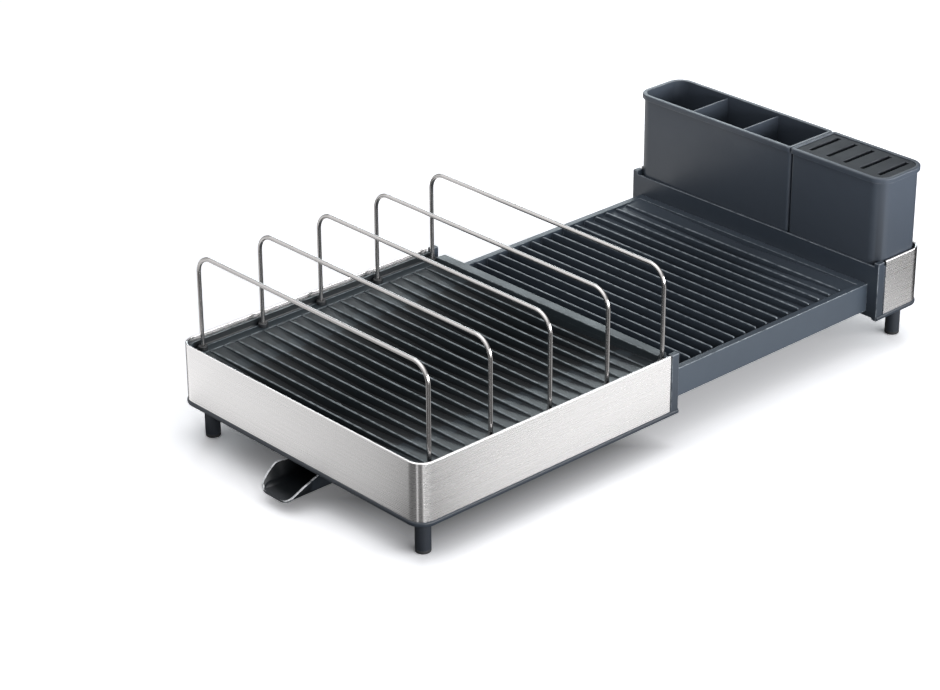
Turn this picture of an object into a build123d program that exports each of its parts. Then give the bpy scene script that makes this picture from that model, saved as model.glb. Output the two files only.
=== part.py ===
from build123d import *
import os

# Extending dish drying rack, in millimetres.
# X runs from the main half to the pull-out end, Y from front to back, Z up.
# Z is 0 on the table. X is 0 at the main band's left face until a piece is placed.

# Overall sizes
rack_width = 320.0
main_length = 305.0
end_length = 66.0
pull_out = 270.0
closed_gap = 1.5
lip_height = 34.0
band_height = 55.0
corner_radius = 15.0

# Wall thicknesses and clearances
steel = 0.8
wall = 2.2
floor_thick = 2.5
fit_gap = 0.2
run_gap = 0.4
pick_gap = 0.01

# Lip, liner and corner posts of both halves
lip_tall = 4.5
lip_proud = 1.0
lip_wide = 5.0
lip_round = 1.6
floor_step = 2.0
liner_drop = 5.5
post_long = 9.0
post_deep = 6.0
post_drop = 0.4
post_round = 1.5
band_gap = 0.5

# Rolled top edge of the steel bands
hem_tall = 2.2
hem_thick = 2.0
hem_round = 0.8

# Drainer tray
deck_drop = 11.0
deck_thick = 2.5
rim_wall = 1.8
flange_thick = 1.8
pan_left = 14.0
pan_right = 7.2
pan_border = 16.0
pan_depth = 9.0
pan_floor = 2.2
rib_thick = 2.0
rib_pitch = 14.6
main_rib_first = 22.8
main_rib_last = 18.6
main_rib_count = 18
drainer_hole = 6.0
drain_pocket = 1
end_wall = 2.0

# Plate wires and their cups
wire_radius = 2.0
wire_first = 19.0
wire_last = 12.0
wire_count = 5
wire_inset = 10.0
wire_rise = 81.0
wire_bend = 17.0
cup_radius = 4.5
cup_tall = 4.0
cup_sleeve = 3.4
cup_depth = 8.0
cup_floor = 2.0
cup_bevel = 0.6

# Feet
foot_radius = 7.0
foot_inset = 19.0
end_foot_inset = 16.0
pad_tall = 3.0
pad_bevel = 0.8
pad_stud_radius = 3.0
pad_stud_tall = 4.0

# Extension tray
tray_inset = 12.0
tray_drop = 24.0
tray_tall = 28.0
tray_wall = 2.0
tray_floor = 2.2
tray_low = 4.5
tray_high = 22.0
tray_fall = 5.6
tray_border = 6.4
tray_end_border = 8.0
tray_rib_proud = 0.5
tray_rib_first = 10.0
tray_rib_round = 0.8
runner_wide = 6.0
stop_inset = 16.0
stop_long = 7.0
stop_proud = 8.0
stop_tall = 10.0
stop_lift = 8.0

# End bracket
bracket_wall = 2.5
bracket_wall_drop = 4.3

# Cutlery caddy and knife block
box_gap = 0.5
box_rise = 82.5
box_wall = 2.0
box_radius = 14.0
seam_radius = 2.5
seam_inner = 0.8
seam_y = -44.0
seam_gap = 2.8
rim_tall = 5.0
rim_proud = 2.4
rim_seam_proud = 1.0
rim_round = 1.0
compartments = 3
divider_thick = 1.6
divider_drop = 3.0
drain_slot_long = 26.0
drain_slot_wide = 4.0
drain_slot_pitch = 12.0
top_drop = 0.8
top_thick = 3.0
top_ledge = 1.5
slot_count = 5
slot_side = 13.85
slot_long = 42.0
slot_wide = 4.8
slot_end_inset = 10.0

# Swivel spout
spout_x = 42.0
spout_reach = 68.0
spout_width = 38.0
spout_wall = 2.0
spout_clear = 10.0
spout_top_gap = 1.0
spout_tip_tall = 3.0
spout_mouth_long = 44.0
spout_tip_round = 7.0
scoop_tip_lean = 0.6
scoop_end_rise = 0.15
neck_outer = 14.0
neck_inner = 11.5
neck_lip = 1.0
neck_lip_tall = 0.9
ring_thick = 2.0
ring_outer = 18.5
ring_slit = 4.0

# Levels and places that follow from the sizes above
half_width = rack_width / 2
lip_top = lip_height + lip_tall
rim_z = lip_top + band_height
floor_bottom = lip_height + floor_step
floor_top = floor_bottom + floor_thick
liner_top = rim_z - liner_drop
deck_top = rim_z - deck_drop
tray_top = rim_z - tray_drop
tray_bottom = tray_top - tray_tall
end_start = main_length + pull_out
end_face = end_start + end_length
liner_out = steel + fit_gap
liner_in = liner_out + wall
drainer_edge = liner_in + fit_gap
box_edge = liner_in + box_gap
box_left = end_start + bracket_wall + box_gap
box_right = end_face - box_edge
box_half = half_width - box_edge
box_top = rim_z + box_rise
wire_y = half_width - wire_inset
wire_pitch = (main_length - wire_first - wire_last) / (wire_count - 1)
wire_top = rim_z + wire_rise
cup_bottom = deck_top - cup_depth
wire_bottom = cup_bottom + cup_floor
pan_end = main_length - pan_right
main_rib_pitch = (pan_end - main_rib_first - main_rib_last) / (main_rib_count - 1)
hole_x = main_rib_first + (drain_pocket + 0.5) * main_rib_pitch
tray_half = half_width - tray_inset
rib_top = tray_top + tray_rib_proud
slide_travel = pull_out - closed_gap
tray_left = slide_travel + drainer_edge + run_gap
tub_end = end_start - tray_end_border
tub_half = tray_half - tray_border
tub_slope = (tray_high - tray_low) / (tub_end - tray_left)
spout_tip = spout_x - spout_reach
middle_x = (spout_tip + end_face + lip_proud) / 2

os.makedirs("parts", exist_ok=True)


def save(shape, node):
    """Moves a piece to the rack's middle and writes it out."""
    export_step(Pos(-middle_x, 0, 0) * shape, "parts/" + node + ".step")


def block(x0, x1, y0, y1, z0, z1):
    """A box between two corners."""
    middle = Pos((x0 + x1) / 2, (y0 + y1) / 2, (z0 + z1) / 2)
    return middle * Box(x1 - x0, y1 - y0, z1 - z0)


def peg(x, y, z0, z1, radius):
    """An upright cylinder."""
    return Pos(x, y, (z0 + z1) / 2) * Cylinder(radius, z1 - z0)


def half_plan(square_x, round_x, inset):
    """Plan of one half of the rack: square where the halves meet, round at its outer end."""
    outward = 1 if round_x > square_x else -1
    tip = round_x - outward * inset
    width = abs(tip - square_x)
    plan = Pos((tip + square_x) / 2, 0) * Rectangle(width, rack_width - 2 * inset)
    corners = plan.vertices().group_by(Axis.X)[-1 if outward > 0 else 0]
    return fillet(corners, corner_radius - inset)


def half_wall(square_x, round_x, inset, thick, z0, z1):
    """A wall along three sides of one half, open where the halves meet."""
    outer = half_plan(square_x, round_x, inset)
    inner = half_plan(square_x, round_x, inset + thick)
    return Pos(0, 0, z0) * extrude(outer - inner, z1 - z0)


def half_plate(square_x, round_x, inset, z0, z1):
    """A plate that fills one half's plan."""
    return Pos(0, 0, z0) * extrude(half_plan(square_x, round_x, inset), z1 - z0)


def long_edges(shape, square_x, z):
    """The edges at one height, without those on the square end."""
    level = shape.edges().filter_by_position(Axis.Z, z - pick_gap, z + pick_gap)
    return [edge for edge in level if abs(edge.center().X - square_x) > pick_gap]


def half_lip(square_x, round_x):
    """The rounded lip under a steel band."""
    lip = half_plate(square_x, round_x, -lip_proud, lip_height, lip_top)
    outer = long_edges(lip, square_x, lip_height) + long_edges(lip, square_x, lip_top)
    lip = fillet(outer, lip_round)
    return lip - half_plate(square_x, round_x, lip_wide - lip_proud, lip_height, lip_top)


def corner_post(x0, x1, side):
    """A plastic post that covers the cut end of a steel band."""
    y0, y1 = sorted((side * (half_width - post_deep), side * half_width))
    post = block(x0, x1, y0, y1, lip_height, rim_z - post_drop)
    return fillet(post.edges().group_by(Axis.Z)[-1], post_round)


def half_shell(square_x, round_x):
    """Floor, liner, lip and posts of one half."""
    outward = 1 if round_x > square_x else -1
    shell = half_plate(square_x, round_x, liner_out, floor_bottom, floor_top)
    shell += half_wall(square_x, round_x, liner_out, wall, floor_bottom, liner_top)
    shell += half_lip(square_x, round_x)
    x0, x1 = sorted((square_x, square_x + outward * post_long))
    for side in (-1, 1):
        shell += corner_post(x0, x1, side)
    return shell


def steel_wrap(square_x, round_x):
    """A steel band round three sides with a rolled top edge."""
    outward = 1 if round_x > square_x else -1
    start = square_x + outward * (post_long + band_gap)
    band = half_wall(start, round_x, 0, steel, lip_top, rim_z)
    hem = half_wall(start, round_x, 0, hem_thick, rim_z - hem_tall, rim_z)
    band += hem
    return fillet(long_edges(band, start, rim_z), hem_round)


# Base basin of the main half, with runners and a drain hole
basin = half_shell(main_length, 0)
for side in (-1, 1):
    y0, y1 = sorted((side * tray_half, side * (tray_half - runner_wide)))
    basin += block(drainer_edge, main_length, y0, y1, floor_top, tray_bottom)
basin -= peg(spout_x, 0, floor_bottom, floor_top, neck_outer + run_gap)
save(basin, "base_basin")

# Steel band of the main half
save(steel_wrap(main_length, 0), "steel_band")


# Drainer tray
def pan_profile(depth):
    """The shallow valley of the drainer tray, across the rack."""
    reach = half_width - pan_border
    points = [(-reach, deck_top), (reach, deck_top), (0, deck_top - depth)]
    return Plane.YZ * make_face(Polyline(*points, close=True))


def pan_prism(depth, x0, x1):
    """The valley's shape between two places along the rack."""
    return Pos(x0, 0, 0) * extrude(pan_profile(depth), x1 - x0)


drainer = half_plate(main_length, 0, drainer_edge, deck_top - deck_thick, deck_top)
drainer += half_wall(main_length, 0, drainer_edge, rim_wall, deck_top, liner_top)
flange_edge = liner_out + fit_gap
flange_wide = drainer_edge + rim_wall - flange_edge
drainer += half_wall(main_length, 0, flange_edge, flange_wide, liner_top, liner_top + flange_thick)
drainer += pan_prism(pan_depth + pan_floor, pan_left - pan_floor, pan_end + pan_floor)
skirt_bottom = rib_top + run_gap
drainer += block(main_length - end_wall, main_length, -tray_half, tray_half, skirt_bottom, deck_top)
drainer -= pan_prism(pan_depth, pan_left, pan_end)
for number in range(main_rib_count):
    x = main_rib_first + number * main_rib_pitch
    drainer += pan_prism(pan_depth + pan_floor / 2, x - rib_thick / 2, x + rib_thick / 2)
drainer -= peg(hole_x, 0, tray_top, deck_top, drainer_hole)
post_edge = main_length - post_long - fit_gap
for side in (-1, 1):
    y0, y1 = sorted((side * (half_width - post_deep - fit_gap), side * half_width))
    drainer -= block(post_edge, main_length, y0, y1, tray_top, rim_z)
wire_places = [wire_first + number * wire_pitch for number in range(wire_count)]
for x in wire_places:
    for side in (-1, 1):
        drainer -= peg(x, side * wire_y, tray_top, deck_top, cup_sleeve + fit_gap)
save(drainer, "drainer_tray")


# Plate wires, each an inverted U
def plate_wire(x):
    """One bent rod over the drainer tray."""
    path = FilletPolyline(
        (x, -wire_y, wire_bottom),
        (x, -wire_y, wire_top),
        (x, wire_y, wire_top),
        (x, wire_y, wire_bottom),
        radius=wire_bend,
    )
    return sweep(Plane((x, -wire_y, wire_bottom)) * Circle(wire_radius), path=path)


# Wire cups, each a flanged socket
def wire_cup(x, y):
    """The socket that one leg of a wire stands in."""
    head = peg(x, y, deck_top, deck_top + cup_tall, cup_radius)
    head = chamfer(head.edges().group_by(Axis.Z)[-1], cup_bevel)
    cup = head + peg(x, y, cup_bottom, deck_top, cup_sleeve)
    return cup - peg(x, y, wire_bottom, deck_top + cup_tall, wire_radius + fit_gap)


for number, x in enumerate(wire_places, start=1):
    save(plate_wire(x), f"plate_wire_{number}")
    save(wire_cup(x, -wire_y), f"wire_cup_{number}_front")
    save(wire_cup(x, wire_y), f"wire_cup_{number}_back")


# Feet and their pads
def foot(x, y):
    """A round foot with a hole for its pad's stud."""
    leg = peg(x, y, pad_tall, floor_bottom, foot_radius)
    return leg - peg(x, y, pad_tall, pad_tall + pad_stud_tall + fit_gap, pad_stud_radius + fit_gap)


def foot_pad(x, y):
    """The soft tip of a foot."""
    pad = peg(x, y, 0, pad_tall, foot_radius)
    pad = chamfer(pad.edges().group_by(Axis.Z)[0], pad_bevel)
    return pad + peg(x, y, pad_tall, pad_tall + pad_stud_tall, pad_stud_radius)


foot_y = half_width - foot_inset
for half, x in (("main", foot_inset), ("end", end_face - end_foot_inset)):
    for place, y in (("front", -foot_y), ("back", foot_y)):
        save(foot(x, y), f"{half}_foot_{place}")
        save(foot_pad(x, y), f"{half}_foot_pad_{place}")


# Extension tray: a border round a ribbed tub, open at its deep end and hollow below
def floor_level(x):
    """Height of the tub's floor along its middle."""
    return tray_bottom + tray_low + tub_slope * (x - tray_left)


def tub_section(x, level, edge):
    """Section across the tray: a floor that falls to the middle, up or down to an edge height."""
    points = [
        (-tub_half, edge),
        (-tub_half, level + tray_fall),
        (0, level),
        (tub_half, level + tray_fall),
        (tub_half, edge),
    ]
    return Plane.YZ.offset(x) * make_face(Polyline(*points, close=True))


def tub_space(x0, x1, sink, edge):
    """The room between two sections of the tub."""
    first = tub_section(x0, floor_level(x0) - sink, edge)
    last = tub_section(x1, floor_level(x1) - sink, edge)
    return loft([first, last], ruled=True)


extension = block(tray_left, end_start, -tray_half, tray_half, tray_bottom, tray_top)
extension -= tub_space(tray_left, tub_end, 0, tray_top)
extension -= tub_space(tray_left, end_start - tray_wall, tray_floor, tray_bottom)
for side in (-1, 1):
    y0, y1 = sorted((side * tray_half, side * (tray_half + stop_proud)))
    stop_x = tray_left + stop_inset
    stop_z = tray_bottom + stop_lift
    extension += block(stop_x, stop_x + stop_long, y0, y1, stop_z, stop_z + stop_tall)
rib_space = tub_end - tray_left - 2 * tray_rib_first
for number in range(int(rib_space / rib_pitch) + 1):
    x = tray_left + tray_rib_first + number * rib_pitch
    rib = extrude(tub_section(x - rib_thick / 2, floor_level(x) - tray_floor / 2, rib_top), rib_thick)
    ends = rib.edges().filter_by(Axis.X).group_by(Axis.Z)[-1]
    extension += fillet(ends, tray_rib_round)
save(extension, "extension_tray")

# End bracket that holds the caddy and the knife block
bracket = half_shell(end_start, end_face)
inner_half = half_width - post_deep
bracket_top = rim_z - bracket_wall_drop
bracket += block(end_start, end_start + bracket_wall, -inner_half, inner_half, floor_bottom, bracket_top)
save(bracket, "end_bracket")

# Steel band of the end bracket
save(steel_wrap(end_start, end_face), "end_band")


# Boxes that stand in the end bracket
def box_plan(y0, y1, grow, seam_grow):
    """Plan of a box: large corners at the rack's side, small ones at the seam."""
    outer, seam = (0, -1) if y0 < -y1 else (-1, 0)
    y0 -= grow if outer == 0 else seam_grow
    y1 += seam_grow if outer == 0 else grow
    plan = Pos((box_left + box_right) / 2, (y0 + y1) / 2)
    plan = plan * Rectangle(box_right - box_left + 2 * grow, y1 - y0)
    plan = fillet(plan.vertices().group_by(Axis.Y)[outer], box_radius + grow)
    return fillet(plan.vertices().group_by(Axis.Y)[seam], max(seam_radius + seam_grow, seam_inner))


def open_box(y0, y1):
    """A box with a floor, an open top and a thick rim."""
    box = Pos(0, 0, floor_top) * extrude(box_plan(y0, y1, 0, 0), box_top - floor_top)
    rim = Pos(0, 0, box_top - rim_tall) * extrude(box_plan(y0, y1, rim_proud, rim_seam_proud), rim_tall)
    rim = fillet(rim.edges().group_by(Axis.Z)[-1], rim_round)
    box += rim
    inside = Pos(0, 0, floor_top + box_wall) * extrude(box_plan(y0, y1, -box_wall, -box_wall), box_top)
    return box - inside


# Cutlery caddy with its dividers and drain slots
caddy_y0 = seam_y + seam_gap / 2
caddy_y1 = box_half
caddy = open_box(caddy_y0, caddy_y1)
caddy_step = (caddy_y1 - caddy_y0) / compartments
box_middle = (box_left + box_right) / 2
for number in range(1, compartments):
    y = caddy_y0 + number * caddy_step
    divider_top = box_top - divider_drop
    caddy += block(
        box_left + box_wall / 2, box_right - box_wall / 2,
        y - divider_thick / 2, y + divider_thick / 2,
        floor_top, divider_top,
    )
for number in range(compartments):
    y = caddy_y0 + (number + 0.5) * caddy_step
    for step in (-1, 0, 1):
        slot = Pos(box_middle, y + step * drain_slot_pitch) * SlotOverall(drain_slot_long, drain_slot_wide)
        caddy -= Pos(0, 0, floor_top) * extrude(slot, box_wall)
save(caddy, "cutlery_caddy")

# Knife block body with a ledge for its top
knife_y0 = -box_half
knife_y1 = seam_y - seam_gap / 2
knife_body = open_box(knife_y0, knife_y1)
ledge_top = box_top - top_drop - top_thick
ledge_in = box_wall + top_ledge
ledge_outer = box_plan(knife_y0, knife_y1, -box_wall, -box_wall)
ledge_inner = box_plan(knife_y0, knife_y1, -ledge_in, -ledge_in)
ledge = extrude(ledge_outer - ledge_inner, top_thick)
knife_body += Pos(0, 0, ledge_top - top_thick) * ledge
save(knife_body, "knife_block")

# Slotted top of the knife block
top_in = box_wall + fit_gap
knife_top = extrude(box_plan(knife_y0, knife_y1, -top_in, -top_in), top_thick)
slot_pitch = (knife_y1 - knife_y0 - 2 * slot_side) / (slot_count - 1)
slot_x = box_left + slot_end_inset + slot_long / 2
for number in range(slot_count):
    y = knife_y0 + slot_side + number * slot_pitch
    knife_top -= extrude(Pos(slot_x, y) * Rectangle(slot_long, slot_wide), top_thick)
save(Pos(0, 0, ledge_top) * knife_top, "knife_block_top")

# Swivel spout: a neck through the drain hole over a pan that runs out to an open scoop
spout_top = floor_bottom - spout_top_gap
spout_half = spout_width / 2
ring_top = floor_top + ring_thick


def spout_plan(inset):
    """Plan of the spout from its pivot to its tip."""
    body = Pos((spout_tip + spout_x) / 2, 0) * Rectangle(spout_reach, spout_width - 2 * inset)
    body = fillet(body.vertices().group_by(Axis.X)[0], spout_tip_round)
    return body + Pos(spout_x, 0) * Circle(spout_half - inset)


spout = Pos(0, 0, spout_clear) * extrude(spout_plan(0), spout_top - spout_clear)
hollow_tall = spout_top - spout_clear - 2 * spout_wall
spout -= Pos(0, 0, spout_clear + spout_wall) * extrude(spout_plan(spout_wall), hollow_tall)
mouth_x = spout_tip + spout_mouth_long
tip_z = spout_clear + spout_tip_tall
scoop_slopes = [(scoop_tip_lean, 1), (1, scoop_end_rise)]
mouth = Spline((spout_tip, tip_z), (mouth_x, spout_top), tangents=scoop_slopes)
mouth_line = mouth + Polyline((mouth_x, spout_top), (spout_tip, spout_top), (spout_tip, tip_z))
spout -= extrude(Plane.XZ * make_face(mouth_line), spout_width, both=True)
lip_y = spout_half - spout_wall
spout -= block(spout_tip, spout_tip + spout_wall, -lip_y, lip_y, spout_clear + spout_wall, spout_top)
spout += peg(spout_x, 0, spout_top, ring_top, neck_outer)
spout += peg(spout_x, 0, ring_top, ring_top + neck_lip_tall, neck_outer + neck_lip)
spout -= peg(spout_x, 0, spout_top - spout_wall, ring_top + neck_lip_tall, neck_inner)
save(spout, "spout")

# Split ring that keeps the neck of the spout up in the drain hole
ring = peg(spout_x, 0, floor_top, ring_top, ring_outer)
ring -= peg(spout_x, 0, floor_top, ring_top, neck_outer + fit_gap)
ring -= block(spout_x, spout_x + ring_outer, -ring_slit / 2, ring_slit / 2, floor_top, ring_top)
save(ring, "spout_ring")
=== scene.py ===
import math
import bmesh
import bpy
from mathutils import Matrix, Vector


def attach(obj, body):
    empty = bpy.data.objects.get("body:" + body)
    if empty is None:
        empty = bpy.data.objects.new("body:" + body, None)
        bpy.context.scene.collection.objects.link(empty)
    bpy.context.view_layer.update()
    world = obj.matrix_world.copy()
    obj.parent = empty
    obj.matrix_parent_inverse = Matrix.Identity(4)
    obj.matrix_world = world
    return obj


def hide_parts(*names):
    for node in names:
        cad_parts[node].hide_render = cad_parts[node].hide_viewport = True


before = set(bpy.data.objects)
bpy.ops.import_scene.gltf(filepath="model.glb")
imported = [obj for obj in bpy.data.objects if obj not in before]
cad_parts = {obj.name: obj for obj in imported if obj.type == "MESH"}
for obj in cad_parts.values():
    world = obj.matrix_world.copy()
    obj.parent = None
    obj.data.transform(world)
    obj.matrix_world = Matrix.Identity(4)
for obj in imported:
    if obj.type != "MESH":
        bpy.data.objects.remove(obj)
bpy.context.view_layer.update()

# Sizes of the rack in millimetres. X is 0 at the main band's left face, and Z is 0 on the worktop.
MM = 0.001
MIDDLE_X = 308.0
HALF_WIDTH = 160.0
MAIN_LENGTH = 305.0
END_START = 575.0
END_FACE = 641.0
CORNER_RADIUS = 15.0

# How far a form runs into its neighbour, how near counts as touching, and the small edges of mouldings
SINK, MID_SINK, DEEP_SINK = 0.1, 0.5, 1.0
TOUCH = 0.1
THIN_EDGE, FINE_EDGE, EDGE, WIDE_EDGE = 0.3, 0.4, 0.5, 0.6

# Levels
LIP_BOTTOM = 34.0
FLOOR_BOTTOM = 36.0
LIP_TOP = 38.5
LINER_TOP = 88.0
RIM_Z = 93.5
DECK_BOTTOM = 80.0
DECK_TOP = 82.5
FLANGE_TOP = 89.8
TRAY_BOTTOM = 41.5
TRAY_TOP = 69.5
BOX_TOP = 176.0

# Lip, liner, posts and steel bands of both halves. OUT and IN are depths in from the band's face.
LIP_OUT = -1.0
LIP_IN = 4.0
LIP_ROUND = 1.6
LIP_SHADE = 0.45
LINER_OUT = 1.0
LINER_IN = 3.2
LINER_BOTTOM = FLOOR_BOTTOM + 0.5
LINER_COVE = 2.0
POST_LONG = 9.0
POST_DEEP = 6.0
POST_TOP = RIM_Z - 0.4
POST_ROUND = 1.2
END_INSET = 0.4
BAND_START = 11.0
BAND_STATION = BAND_START + 1.0
BAND_LOW = LIP_TOP + 0.02
BAND_EDGE = (0.25, 0.28)
STEEL = 0.8
HEM = 2.0
HEM_TALL = 2.2
HEM_EDGE = 0.15
HEM_CUT = 0.4
HEM_FALL = 0.3

# Drainer tray
FLANGE_OUT = 1.2
DRAINER_OUT = 3.4
DRAINER_IN = 5.2
RIM_COVE = ((2.0, -SINK), (1.0, 0.25), (0.3, 0.9), (0.0, 1.9))
COVE_MIDDLE = DECK_TOP + 0.8
CHANNEL_SHADE = 0.9
NOTCH_LONG = 9.2
NOTCH_Y = 153.8
PAN_LEFT = 14.0
PAN_RIGHT = 293.3
PAN_REACH = 144.0
PAN_DEPTH = 9.0
PAN_FLOOR = 2.2
PAN_SINK = 0.05
PAN_END_STEP = 1.0
PAN_STEP_RUN = 0.5
PAN_STATIONS = (20.0, 50.0, 90.0, 118.0, 130.0, 138.0)
# Depth at which the painted shade in a pocket is full
POCKET_DEEP = 4.0
VALLEY_ROUND = 2.5
RIB_HALF = 1.0
RIB_FIRST = 22.8
RIB_LAST = 279.2
RIB_COUNT = 18
RIB_PITCH = (RIB_LAST - RIB_FIRST) / (RIB_COUNT - 1)
RIB_ROUND = 0.5
RIB_FOOT = 0.6
HOLE_RIB = 1
HOLE_RADIUS = 5.4
HOLE_REACH = 8.0
HOLE_STATION = 3.0
HOLE_EDGE = 0.25
SKIRT_BOTTOM = 70.4
SKIRT_THICK = 2.0
END_RIM_TOP = DECK_TOP + 6.2
END_RIM_EDGE = 0.8
END_RIM_ROUND = 1.5
END_RIM_FALL = 0.6
END_RIM_SINK = 0.4
RIM_FACE = MAIN_LENGTH - 0.05
BASIN_HOLE_X = 42.0
BASIN_HOLE = 14.4

# Plate wires and cups
WIRE_RADIUS = 2.0
WIRE_SIDES = 20
WIRE_FIRST = 19.0
WIRE_PITCH = 68.5
WIRE_COUNT = 5
WIRE_Y = 150.0
WIRE_TOP = 174.5
WIRE_BOTTOM = 76.5
WIRE_BEND = 17.0
BEND_STEPS = 14
WIRE_STRAIGHT = 30.0
CUP_SLEEVE = 3.4
CUP_ROOM = 0.2
CUP_BOTTOM = 74.5
CUP_HEAD = 4.5
CUP_HEAD_EDGE = (0.2, 0.3)
CUP_HEAD_ROUND = 1.0
CUP_TALL = 4.0
CUP_BORE = 2.2

# Feet
FOOT_RADIUS = 7.0
FOOT_SIDES = 40
FOOT_Y = 141.0
MAIN_FOOT_X = 19.0
END_FOOT_X = 625.0
PAD_TALL = 3.0
PAD_TOE = ((0.9, 0.0), (0.3, 0.25), (0.0, 0.9))

# Extension tray
TRAY_LEFT = 272.3
TRAY_HALF = 148.0
TUB_HALF = 141.6
TUB_END = 567.0
TUB_LOW = 46.0
TUB_HIGH = 63.5
TUB_FALL = 5.6
TUB_FLOOR = 2.2
TUB_FOOT = 0.8
TUB_SHADE_TOP = TRAY_TOP - 3.0
TUB_SHADE_DEEP = 9.0
CREASE_HALF = 5.0
CREASE_RISE = 0.12
FIN_FIRST = 282.3
FIN_PITCH = 14.6
FIN_COUNT = 19
FIN_TOP = TRAY_TOP + 0.5
FIN_SHORT = 2.2
FIN_END = ((0.0, 2.0), (0.3, 0.9), (1.0, 0.25), (2.0, 0.0))
FIN_LEAST = 2.0
STOP_X = 288.3
STOP_LONG = 7.0
STOP_Y = 156.0
STOP_Z = 49.5
STOP_TALL = 10.0
STOP_ROUND = 0.8
RUNNER_WIDE = 6.0

# Spout
SPOUT_TIP = -26.0
SPOUT_HALF = 19.0
SPOUT_BEND = 7.0
SPOUT_CURVE = 6.5
CURVE_SHARE = 0.7
CURVE_LEAST = 0.3
TROUGH_STEPS = 6
SPOUT_WALL = 2.0
SPOUT_LOW = 10.0
SPOUT_TOP = 35.0
SPOUT_SILL = 0.3
SPOUT_BRIM = ((0.0, 0.5), (0.25, 0.1), (1.0, 0.0), (SPOUT_WALL, SPOUT_SILL))
SPOUT_EDGE = 2.5
SPOUT_RIM = 28.2
SPOUT_FLARE = 6.0
FLARE_END = 14.0
FLARE_RUN = 18.0
SPOUT_MOUTH = 44.0
MOUTH_STEP = 0.4
BRIM_END = 2.0
BRIM_RISE = (20.0, 16.0)
BRIM_RUN = (30.0, 1.0)
BRIM_SHARES = (0.02, 0.04, 0.07, 0.11, 0.16, 0.22, 0.3, 0.4, 0.5, 0.6, 0.7, 0.8, 0.9, 1.0)
BRIM_STATION = 10.0
BACK_STATIONS = (BASIN_HOLE_X, 50.0, 55.0, 58.0)
BACK_WALL = (58.2, 60.3)
SPOUT_SHADE_IN = 1.5
SPOUT_SHADE_DEEP = 12.0
NECK_IN = 11.5
NECK_OUT = 14.0
NECK_BOTTOM = SPOUT_TOP - 3.0
NECK_SIDES = 40
RING_TOP = 40.5
BEAD_PROUD = 1.0
BEAD_TALL = 0.9

# End bracket, cutlery caddy and knife block
BRACKET_WALL = 2.5
BRACKET_INSET = 0.03
BRACKET_TOP = 89.2
BRACKET_ROUND = 0.6
BOX_LEFT = 578.0
BOX_RIGHT = 637.3
BOX_WALL = 2.0
BOX_ROUND = 14.0
BOX_FOOT = ((-1.4, 0.0), (-0.5, 0.3), (0.0, 1.1))
BOX_COVE = ((0.0, 2.0), (0.5, 0.6), (1.6, 0.0))
BOX_SHADE_INSIDE = 25.0
BOX_SHADE_OUTSIDE = 250.0
SEAM_ROUND = 2.5
SEAM_LEAST = 0.8
RIM_TALL = 5.0
RIM_PROUD = 2.4
RIM_ROUND = 1.1
SEAM_PROUD = 1.0
SEAM_FILL = 0.7
CADDY_Y = (-42.6, 156.3)
KNIFE_Y = (-156.3, -45.4)
COMPARTMENTS = 3
DIVIDER_HALF = 0.8
DIVIDER_TOP = BOX_TOP - 3.0
DRAIN_LONG = 26.0
DRAIN_WIDE = 4.0
DRAIN_ROUND = 1.95
DRAIN_PITCH = 12.0
KNIFE_TOP = (172.2, 175.2)
KNIFE_TOP_ROOM = 0.2
KNIFE_TOP_EDGE = 0.45
LEDGE_IN = 3.5
SLOT_COUNT = 5
SLOT_SIDE = 13.85
SLOT_X = (588.0, 630.0)
SLOT_HALF = 2.4
SLOT_ROUND = 0.4

# Ways along a section, and how near an eased edge comes to its corner, as a share of its size
LEFT, RIGHT, DOWN, UP = (-1, 0), (1, 0), (0, -1), (0, 1)
EASE = 0.3


def place(x, y, z):
    """A point of the rack in metres, in the shared frame."""
    return Vector(((x - MIDDLE_X) * MM, y * MM, z * MM))


# Mesh helpers
def skin(bm, rows, closed=True):
    """Joins rows of points with faces, and gives back the rows of vertices."""
    made = [[bm.verts.new(point) for point in row] for row in rows]
    count = len(made[0])
    for low, high in zip(made, made[1:]):
        for i in range(count if closed else count - 1):
            j = (i + 1) % count
            bm.faces.new((low[i], low[j], high[j], high[i]))
    return made


def loft(bm, rings):
    """A closed body through rings of points."""
    made = skin(bm, rings)
    bm.faces.new(list(reversed(made[0])))
    bm.faces.new(made[-1])


def eased(corner, before, after, size):
    """Three points round a corner of a section, with the ways from it to the points before and after."""
    x, z = corner
    near = EASE * size
    points = [(x + size * before[0], z + size * before[1])]
    points.append((x + near * (before[0] + after[0]), z + near * (before[1] + after[1])))
    points.append((x + size * after[0], z + size * after[1]))
    return points


def arc(cx, cy, radius, start, end, steps):
    """Points along an arc, with angles in degrees."""
    points = []
    for i in range(steps + 1):
        angle = math.radians(start + (end - start) * i / steps)
        points.append((cx + radius * math.cos(angle), cy + radius * math.sin(angle)))
    return points


def circle(cx, cy, radius, steps=32):
    """Points round a circle, as a function of how far it is grown."""
    return lambda grow=0.0: arc(cx, cy, radius + grow, 0, 360, steps)[:-1]


def rounded_rect(x0, x1, y0, y1, radii, steps=8, least=0.05):
    """Points round a rectangle, as a function of how far it is grown."""
    corners = ((1, 1, 0), (-1, 1, 90), (-1, -1, 180), (1, -1, 270))

    def points(grow=0.0):
        ring = []
        for (sx, sy, turn), radius in zip(corners, radii):
            bend = max(radius + grow, least)
            cx = (x1 if sx > 0 else x0) + sx * (grow - bend)
            cy = (y1 if sy > 0 else y0) + sy * (grow - bend)
            ring += arc(cx, cy, bend, turn, turn + 90, steps)
        return ring

    return points


def lathe(bm, x, y, profile, steps):
    """Turns a profile of (radius, height) pairs about an upright axis."""
    loft(bm, [[place(px, py, z) for px, py in circle(x, y, radius, steps)()] for radius, z in profile])


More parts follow.
